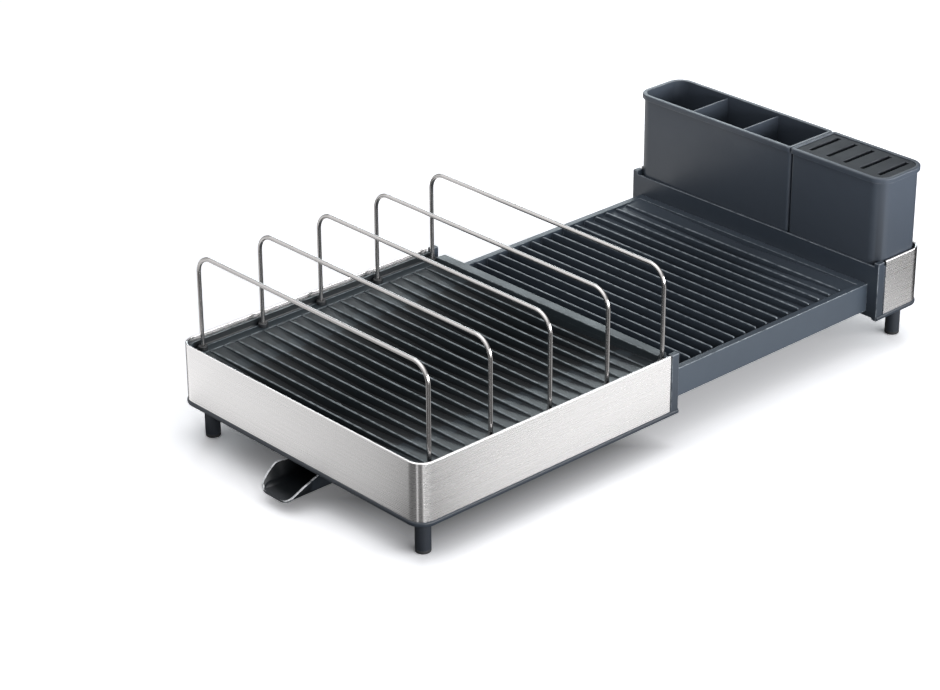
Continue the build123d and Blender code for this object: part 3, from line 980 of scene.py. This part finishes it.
def tray_section(x):
    """Section across the tray."""
    side, middle = tub_level(x) + TUB_FALL, tub_level(x)
    bend = min(FINE_EDGE, (TRAY_TOP - side) / 2)
    half = [(0, middle + CREASE_RISE), (CREASE_HALF, tub_floor(x, CREASE_HALF))]
    half += [(TUB_HALF - TUB_FOOT, side), (TUB_HALF, side + bend)]
    half += eased((TUB_HALF, TRAY_TOP), DOWN, RIGHT, bend)
    half += eased((TRAY_HALF, TRAY_TOP), LEFT, DOWN, WIDE_EDGE)
    half += [(TRAY_HALF, TRAY_BOTTOM + EDGE), (TRAY_HALF - EDGE, TRAY_BOTTOM)]
    half += [(TUB_HALF, TRAY_BOTTOM), (TUB_HALF, side - TUB_FLOOR), (0, middle - TUB_FLOOR)]
    return [place(x, y, z) for y, z in half + [(-y, z) for y, z in reversed(half[1:-1])]]


def tray_fin(bm, x):
    """One upright fin across the tub, rounded along its top and at its ends."""
    tip = TUB_HALF - FIN_SHORT
    ends = [(tip - short, drop) for short, drop in FIN_END]
    stations = [(-y, drop) for y, drop in ends] + [(0.0, 0.0)] + list(reversed(ends))
    rings = []
    for y, drop in stations:
        low = min(tub_floor(x, y) - DEEP_SINK, FIN_TOP - FIN_LEAST)
        ring = [(-RIB_HALF, low)] + eased((-RIB_HALF, FIN_TOP - drop), DOWN, RIGHT, WIDE_EDGE)
        rings.append([place(x + dx, y, z) for dx, z in ring + [(-dx, z) for dx, z in reversed(ring)]])
    loft(bm, rings)


def tub_shade(x, y, z):
    """Painted shade between the fins, from 0 to 1, by how deep a point lies."""
    in_tub = x < TUB_END + TOUCH and abs(y) < TUB_HALF + TOUCH
    return (TUB_SHADE_TOP - z) / TUB_SHADE_DEEP if in_tub else 0.0


def make_extension():
    bm = bmesh.new()
    loft(bm, [tray_section(TRAY_LEFT), tray_section(TUB_END)])
    for number in range(FIN_COUNT):
        tray_fin(bm, FIN_FIRST + number * FIN_PITCH)
    soft_block(bm, TUB_END - MID_SINK, END_START, -TRAY_HALF, TRAY_HALF, TRAY_BOTTOM, TRAY_TOP)
    inner, right, top = TRAY_HALF - DEEP_SINK, STOP_X + STOP_LONG, STOP_Z + STOP_TALL
    side_blocks(bm, STOP_X, right, inner, STOP_Y, STOP_Z, top, STOP_ROUND)
    make_piece(
        bm, "extension_tray", "moulding", "extension", TRAY_SLATE_PAINTED_LIT, shade_at=tub_shade)


make_extension()


# Cutlery caddy and knife block
def box_ring(ends, grow, seam_grow):
    """Plan of a box: large corners at the rack's side, small ones at the seam."""
    at_front = ends[0] < -ends[1]
    y0 = ends[0] - (grow if at_front else seam_grow)
    y1 = ends[1] + (seam_grow if at_front else grow)
    outer, seam = BOX_ROUND + grow, max(SEAM_ROUND + seam_grow, SEAM_LEAST)
    radii = (seam, seam, outer, outer) if at_front else (outer, outer, seam, seam)
    return rounded_rect(BOX_LEFT - grow, BOX_RIGHT + grow, y0, y1, radii, 10)()


def box_plan(ends, inset):
    """Plan of a plate inside a box, as a function of how far it is grown."""
    return lambda grow=0.0: box_ring(ends, grow - inset, grow - inset)


def box_wall(bm, ends):
    """Walls of a box with a rounded bottom and a proud, rounded rim."""
    under = BOX_TOP - RIM_TALL
    wall = [(grow, LIP_TOP + z) for grow, z in BOX_FOOT]
    wall += [(0.0, under - THIN_EDGE), (THIN_EDGE, under)]
    wall += eased((RIM_PROUD, under), LEFT, UP, EDGE)
    wall += arc(RIM_PROUD - RIM_ROUND, BOX_TOP - RIM_ROUND, RIM_ROUND, 0, 90, 5)
    wall += eased((-BOX_WALL, BOX_TOP), RIGHT, DOWN, WIDE_EDGE)
    wall += [(-BOX_WALL - d, LIP_TOP + BOX_WALL + z) for d, z in BOX_COVE]
    rows = []
    for grow, z in wall:
        seam_grow = SEAM_FILL + grow * (SEAM_PROUD - SEAM_FILL) / RIM_PROUD if grow >= 0 else grow
        rows.append([place(x, y, z) for x, y in box_ring(ends, grow, seam_grow)])
    skin(bm, rows)


def box_shade(ends, x, y, z):
    """Painted shade, from 0 to 1: darker deep inside a box, and a little darker towards the bottom on
    its outside.
    """
    inside = min(x - BOX_LEFT, BOX_RIGHT - x, y - ends[0], ends[1] - y) > BOX_WALL - TOUCH
    return (BOX_TOP - z) / (BOX_SHADE_INSIDE if inside else BOX_SHADE_OUTSIDE)


def box_floor(bm, ends, holes):
    plate(bm, box_plan(ends, DEEP_SINK), holes, LIP_TOP, LIP_TOP + BOX_WALL)


def make_caddy():
    bm = bmesh.new()
    box_wall(bm, CADDY_Y)
    step = (CADDY_Y[1] - CADDY_Y[0]) / COMPARTMENTS
    middle = (BOX_LEFT + BOX_RIGHT) / 2
    x0, x1, half = middle - DRAIN_LONG / 2, middle + DRAIN_LONG / 2, DRAIN_WIDE / 2
    holes = []
    for number in range(COMPARTMENTS):
        for shift in (-DRAIN_PITCH, 0, DRAIN_PITCH):
            y = CADDY_Y[0] + (number + 0.5) * step + shift
            holes.append(rounded_rect(x0, x1, y - half, y + half, (DRAIN_ROUND,) * 4, 5))
    box_floor(bm, CADDY_Y, holes)
    x0, x1, low = BOX_LEFT + DEEP_SINK, BOX_RIGHT - DEEP_SINK, LIP_TOP + DEEP_SINK
    for number in range(1, COMPARTMENTS):
        y = CADDY_Y[0] + number * step
        soft_block(bm, x0, x1, y - DIVIDER_HALF, y + DIVIDER_HALF, low, DIVIDER_TOP, steps=3)
    make_piece(
        bm, "cutlery_caddy", "moulding", "cutlery", CHARCOAL,
        shade_at=lambda x, y, z: box_shade(CADDY_Y, x, y, z))


def make_knife_block():
    bm = bmesh.new()
    box_wall(bm, KNIFE_Y)
    box_floor(bm, KNIFE_Y, [])
    low, high = 2 * KNIFE_TOP[0] - KNIFE_TOP[1], KNIFE_TOP[0]
    ledge = [(high, SINK - BOX_WALL), (high, -LEDGE_IN), (low, -LEDGE_IN), (low, SINK - BOX_WALL)]
    skin(bm, [[place(x, y, z) for x, y in box_ring(KNIFE_Y, grow, grow)] for z, grow in ledge])
    make_piece(
        bm, "knife_block", "moulding", "knives", CHARCOAL,
        shade_at=lambda x, y, z: box_shade(KNIFE_Y, x, y, z))


def make_knife_top():
    bm = bmesh.new()
    pitch = (KNIFE_Y[1] - KNIFE_Y[0] - 2 * SLOT_SIDE) / (SLOT_COUNT - 1)
    slots = []
    for number in range(SLOT_COUNT):
        y = KNIFE_Y[0] + SLOT_SIDE + number * pitch
        slots.append(rounded_rect(*SLOT_X, y - SLOT_HALF, y + SLOT_HALF, (SLOT_ROUND,) * 4, 3))
    plate(bm, box_plan(KNIFE_Y, BOX_WALL + KNIFE_TOP_ROOM), slots, *KNIFE_TOP, KNIFE_TOP_EDGE)
    make_piece(bm, "knife_block_top", "plate", "knives", TOP_CHARCOAL)


make_caddy()
make_knife_block()
make_knife_top()


# Feet, pads and the spout
def make_foot(half, row, x, y, body):
    """A foot's leg and the rubber pad under it."""
    r = FOOT_RADIUS
    leg = eased((r, PAD_TALL), LEFT, UP, EDGE) + [(r, FLOOR_BOTTOM)]
    bm = bmesh.new()
    lathe(bm, x, y, leg, FOOT_SIDES)
    make_piece(bm, f"{half}_foot_{row}", "leg", body, FOOT_SLATE)
    pad = [(r - d, z) for d, z in PAD_TOE] + [(r, PAD_TALL - FINE_EDGE), (r - FINE_EDGE, PAD_TALL)]
    bm = bmesh.new()
    lathe(bm, x, y, pad, FOOT_SIDES)
    make_piece(bm, f"{half}_foot_pad_{row}", "tip", body, RUBBER)


def spout_half(x):
    """Half the spout's width, rounded at its tip and round the pivot."""
    if x < SPOUT_TIP + SPOUT_BEND:
        bow = max(SPOUT_BEND**2 - (SPOUT_TIP + SPOUT_BEND - x) ** 2, 0.0)
        return SPOUT_HALF - SPOUT_BEND + math.sqrt(bow)
    return math.sqrt(SPOUT_HALF**2 - max(x - BASIN_HOLE_X, 0) ** 2)


def spout_lean(x, z):
    """How far the scoop's sides lean out, none of it near the pivot."""
    share = min(max((FLARE_END - x) / FLARE_RUN, 0.0), 1.0)
    return SPOUT_FLARE * (z - SPOUT_LOW) / (SPOUT_RIM - SPOUT_LOW) * share


def spout_section(x, top, filled=False):
    """A trough: outside, rounded edge and inside, on both sides of the middle."""
    half, lean = spout_half(x), spout_lean(x, top)
    bend = min(SPOUT_CURVE, CURVE_SHARE * (top - SPOUT_LOW), half - SPOUT_WALL)
    inner = max(bend - SPOUT_WALL, CURVE_LEAST)
    inside, floor, steps = half - SPOUT_WALL, SPOUT_LOW + SPOUT_WALL, TROUGH_STEPS
    side = arc(half - bend, SPOUT_LOW + bend, bend, 270, 360, steps)
    side += [(half + lean - d, top - drop) for d, drop in SPOUT_BRIM]
    if filled:
        side += [((inside + lean) * (1 - k / steps), top - SPOUT_SILL) for k in range(steps + 1)]
    else:
        side += arc(inside - inner, floor + inner, inner, 360, 270, steps)
    return [place(x, y, z) for y, z in side + [(-y, z) for y, z in reversed(side)]]


def brim_point(t):
    """A point of the scoop's brim, which rises from the tip and runs out level."""
    start, end = (SPOUT_TIP, SPOUT_LOW + SPOUT_EDGE), (BRIM_END, SPOUT_RIM)
    weights = (1 - 3 * t**2 + 2 * t**3, 3 * t**2 - 2 * t**3, t - 2 * t**2 + t**3, t**3 - t**2)
    guides = (start, end, BRIM_RISE, BRIM_RUN)
    return tuple(sum(w * p[i] for w, p in zip(weights, guides)) for i in (0, 1))


def spout_shade(x, y, z):
    """Painted shade in the scoop, from 0 to 1, growing with how far in from its tip a point lies."""
    in_scoop = abs(y) < spout_half(x) + spout_lean(x, z) - SPOUT_SHADE_IN
    return (x - SPOUT_TIP) / SPOUT_SHADE_DEEP if in_scoop else 0.0


def make_spout():
    rings = [spout_section(SPOUT_TIP, SPOUT_LOW + SPOUT_EDGE, True)]
    rings += [spout_section(*brim_point(t)) for t in BRIM_SHARES]
    mouth = SPOUT_TIP + SPOUT_MOUTH
    for x, top in ((BRIM_STATION, SPOUT_RIM), (mouth - MOUTH_STEP, SPOUT_RIM), (mouth, SPOUT_TOP)):
        rings.append(spout_section(x, top))
    rings += [spout_section(x, SPOUT_TOP) for x in BACK_STATIONS]
    rings += [spout_section(x, SPOUT_TOP, True) for x in BACK_WALL]
    bm = bmesh.new()
    loft(bm, rings)
    bead, crown = NECK_OUT + BEAD_PROUD, RING_TOP + BEAD_TALL
    neck = [(NECK_IN, NECK_BOTTOM), (NECK_OUT, NECK_BOTTOM), (NECK_OUT, RING_TOP), (bead, RING_TOP)]
    neck += [(bead, crown - THIN_EDGE), (bead - THIN_EDGE, crown), (NECK_IN + THIN_EDGE, crown)]
    neck += [(NECK_IN, crown - THIN_EDGE), (NECK_IN, NECK_BOTTOM)]
    skin(bm, [[place(x, y, z) for x, y in circle(BASIN_HOLE_X, 0, r, NECK_SIDES)()] for r, z in neck])
    make_piece(
        bm, "spout", "moulding", "drain_spout", SPOUT_SLATE, shade_at=spout_shade)


def make_spout_ring():
    bm = rounded_node("spout_ring", THIN_EDGE)
    make_piece(bm, "spout_ring", "clip", "drain_spout", SLATE)


for half, foot_x, body in (("main", MAIN_FOOT_X, "main"), ("end", END_FOOT_X, "extension")):
    make_foot(half, "front", foot_x, -FOOT_Y, body)
    make_foot(half, "back", foot_x, FOOT_Y, body)
make_spout()
make_spout_ring()


# Floor, light and camera, in metres. PATTERN is the brightness painted on the floor for the steel to
# mirror, by direction in degrees.
PATTERN_START, PATTERN_END = 40.0, 360.0
PATTERN = (
    (60.0, 1.15), (74.0, 0.90), (80.0, 0.06), (90.0, 0.06), (96.0, 1.05), (104.0, 0.95),
    (113.0, 0.68), (128.0, 0.48), (142.0, 0.16), (160.0, 0.07), (194.0, 0.07), (201.0, 0.80),
    (208.0, 0.10), (230.0, 0.07), (239.0, 0.75), (246.0, 0.10), (290.0, 0.06), (306.0, 0.09),
    (313.0, 0.21), (321.0, 0.41), (334.0, 0.60), (345.0, 0.76), (351.0, 0.58))

# Each fade is a level at one end, a level at the other, and the two places between which it changes.
# The far and mirror fades dim the painted reflection along the rack and darken it near the rack, a
# painted shadow in it
FAR_FADE = (1.0, 0.02, 0.60, 0.725)
MIRROR_FADE = (0.05, 1.0, 0.015, 0.06)
SHADE_FADE = (0.0, 1.0, -0.05, 0.0)
WHITE_FADE = (0.0, 1.0, 0.8, 1.4)
SKY_LIGHT = (0.10, 0.64, 0.0, 1.0)
SKY_GLEAM = (0.15, 1.6, 0.5, 1.0)
LEFT_GLEAM = (0.0, 0.8, 0.3, -0.5)
FLOOR_REACH = 6.0
FLOOR_PLAIN = (0.55, 0.55, 0.55, 1)
FLOOR_SEEN = (1.57, 1.58, 1.62, 1)
FLOOR_SHADED = (0.36, 0.365, 0.375, 1)
WHITE = (1, 1, 1, 1)


def from_point(tree, point):
    """The way from a point to the place that is shaded."""
    spot = add(tree, "NewGeometry").outputs["Position"]
    return maths(tree, "SUBTRACT", spot, point, "VectorMath")


def clear_of(tree, centre, half, fade):
    """A value on the floor that fades with the distance from the sides of an oblong."""
    size = add(tree, "VectorMath", operation="ABSOLUTE", Vector=from_point(tree, centre))
    out = maths(tree, "SUBTRACT", size.outputs[0], half, "VectorMath")
    split = add(tree, "SeparateXYZ", Vector=out).outputs
    return ramp(tree, maths(tree, "MAXIMUM", split["X"], split["Y"]), *fade)


def angle_pattern(tree):
    """Painted reflection: the floor's brightness for mirrored rays, by direction round the rack's front
    left corner, dimmer far along the rack and darker near it.
    """
    corner = place(CORNER_RADIUS, CORNER_RADIUS - HALF_WIDTH, 0)
    split = add(tree, "SeparateXYZ", Vector=from_point(tree, corner)).outputs
    turn = maths(tree, "ARCTAN2", split["Y"], split["X"])
    whole = maths(tree, "FLOORED_MODULO", turn, 2 * math.pi)
    share = ramp(tree, whole, 0.0, 1.0, math.radians(PATTERN_START), math.radians(PATTERN_END))
    shade = add(tree, "ValToRGB", Fac=share)
    stops = shade.color_ramp.elements
    while len(stops) > 1:
        stops.remove(stops[-1])
    for number, (degrees, level) in enumerate(PATTERN):
        spot = (degrees - PATTERN_START) / (PATTERN_END - PATTERN_START)
        stop = stops[0] if number == 0 else stops.new(spot)
        stop.position = spot
        stop.color = (level, level, level, 1)
    far = ramp(tree, split["X"], *FAR_FADE)
    painted_reflection = maths(tree, "MULTIPLY", shade.outputs["Color"], far)
    footprint = (MIDDLE_X * MM, HALF_WIDTH * MM, 0.0)
    return maths(tree, "MULTIPLY", painted_reflection, clear_of(tree, (0.0, 0.0, 0.0), footprint, MIRROR_FADE))


def mix_shaders(tree, share, first, second):
    """One shader between two others."""
    node = add(tree, "MixShader")
    for socket, value in zip(node.inputs, (share, first.outputs[0], second.outputs[0])):
        feed(tree, socket, value)
    return node


def floor_finish():
    """White where it is seen, with the rack's shadow and a shadow painted under the front of the main
    half, and plain grey where it only lights the rack.
    """
    finish = bpy.data.materials.new("floor_white")
    finish.use_nodes = True
    tree = finish.node_tree
    tree.nodes.clear()
    # Painted shadow: the floor seen under the front of the main half is darkened towards the inside
    front_half = place(MAIN_LENGTH / 2, -HALF_WIDTH / 2, 0)
    half_size = (MAIN_LENGTH / 2 * MM, HALF_WIDTH / 2 * MM, 0.0)
    shade = clear_of(tree, front_half, half_size, SHADE_FADE)
    tone = mix(tree, "RGBA", shade, FLOOR_SHADED, FLOOR_SEEN)
    near = add(tree, "BsdfDiffuse", Color=tone)
    spot = add(tree, "NewGeometry").outputs["Position"]
    distance = add(tree, "VectorMath", operation="LENGTH", Vector=spot)
    away = ramp(tree, distance.outputs["Value"], *WHITE_FADE)
    seen = mix_shaders(tree, away, near, add(tree, "Emission"))
    plain = add(tree, "BsdfDiffuse", Color=FLOOR_PLAIN)
    # Mirrored rays see a painted reflection pattern instead of the plain floor
    mirrored = add(tree, "Emission", Strength=angle_pattern(tree))
    rays = add(tree, "LightPath").outputs
    unseen = mix_shaders(tree, rays["Is Glossy Ray"], plain, mirrored)
    whole = mix_shaders(tree, rays["Is Camera Ray"], unseen, seen)
    add(tree, "OutputMaterial", Surface=whole.outputs[0])
    return finish


def pale_floor():
    bm = bmesh.new()
    bmesh.ops.create_grid(bm, x_segments=8, y_segments=8, size=FLOOR_REACH)
    mesh = bpy.data.meshes.new("floor")
    bm.to_mesh(mesh)
    bm.free()
    floor = bpy.data.objects.new("floor", mesh)
    bpy.context.scene.collection.objects.link(floor)
    mesh.materials.append(floor_finish())


def white_world():
    """White where it is seen. Its light grows with height, and its gleam also to the left."""
    world = bpy.data.worlds.new("studio")
    world.use_nodes = True
    tree = world.node_tree
    tree.nodes.clear()
    way = add(tree, "TexCoord").outputs["Generated"]
    split = add(tree, "SeparateXYZ", Vector=way).outputs
    light = ramp(tree, split["Z"], *SKY_LIGHT)
    high, left = ramp(tree, split["Z"], *SKY_GLEAM), ramp(tree, split["X"], *LEFT_GLEAM)
    rays = add(tree, "LightPath").outputs
    lit = mix(tree, "FLOAT", rays["Is Glossy Ray"], light, maths(tree, "ADD", high, left))
    strength = mix(tree, "FLOAT", rays["Is Camera Ray"], lit, 1.0)
    sky = add(tree, "Background", Color=WHITE, Strength=strength)
    add(tree, "OutputWorld", Surface=sky.outputs[0])
    bpy.context.scene.world = world


def soft_light(name, location, target, size, power, tint=(1.0, 1.0, 1.0)):
    """A wide lamp that faces a target."""
    lamp = bpy.data.lights.new(name, "AREA")
    lamp.color = tint
    lamp.shape = "RECTANGLE"
    lamp.size, lamp.size_y = size
    lamp.energy = power
    holder = bpy.data.objects.new(name, lamp)
    holder.location = location
    holder.rotation_euler = (Vector(target) - Vector(location)).to_track_quat("-Z", "Y").to_euler()
    bpy.context.scene.collection.objects.link(holder)


# The camera's place in the rack's millimetres, its angles in degrees, and its lens
CAMERA_PLACE = (-1309.08, -1643.27, 1174.76)
CAMERA_TURN, CAMERA_LIFT, CAMERA_ROLL = -42.618, 26.156, -0.339
SENSOR_WIDE, LENS_LONG = 36.0, 106.78


def photo_camera():
    lens = bpy.data.cameras.new("camera")
    lens.sensor_width = SENSOR_WIDE
    lens.lens = LENS_LONG
    turn, lift, roll = (math.radians(angle) for angle in (CAMERA_TURN, CAMERA_LIFT, CAMERA_ROLL))
    back = Vector((math.sin(turn) * math.cos(lift), -math.cos(turn) * math.cos(lift), math.sin(lift)))
    right = Vector((math.cos(turn), math.sin(turn), 0.0))
    up = back.cross(right)
    level = right * math.cos(roll) + up * math.sin(roll)
    rise = up * math.cos(roll) - right * math.sin(roll)
    camera = bpy.data.objects.new("camera", lens)
    axes = Matrix((level, rise, back)).transposed().to_4x4()
    camera.matrix_world = Matrix.Translation(place(*CAMERA_PLACE)) @ axes
    bpy.context.scene.collection.objects.link(camera)
    bpy.context.scene.camera = camera


pale_floor()
white_world()
soft_light("top_light", (-0.2, 0.3, 2.2), (0.0, 0.0, 0.0), size=(2.2, 1.8), power=8.0)
soft_light(
    "back_light", (1.15, 1.15, 0.58), (0.1, 0.0, 0.08), size=(0.9, 0.4), power=4.4,
    tint=(0.86, 0.96, 1.0))
soft_light("front_light", (0.6, -2.5, 0.50), (0.1, 0.0, 0.05), size=(5.0, 0.9), power=115.0)
photo_camera()
bpy.context.scene.view_settings.view_transform = "Standard"
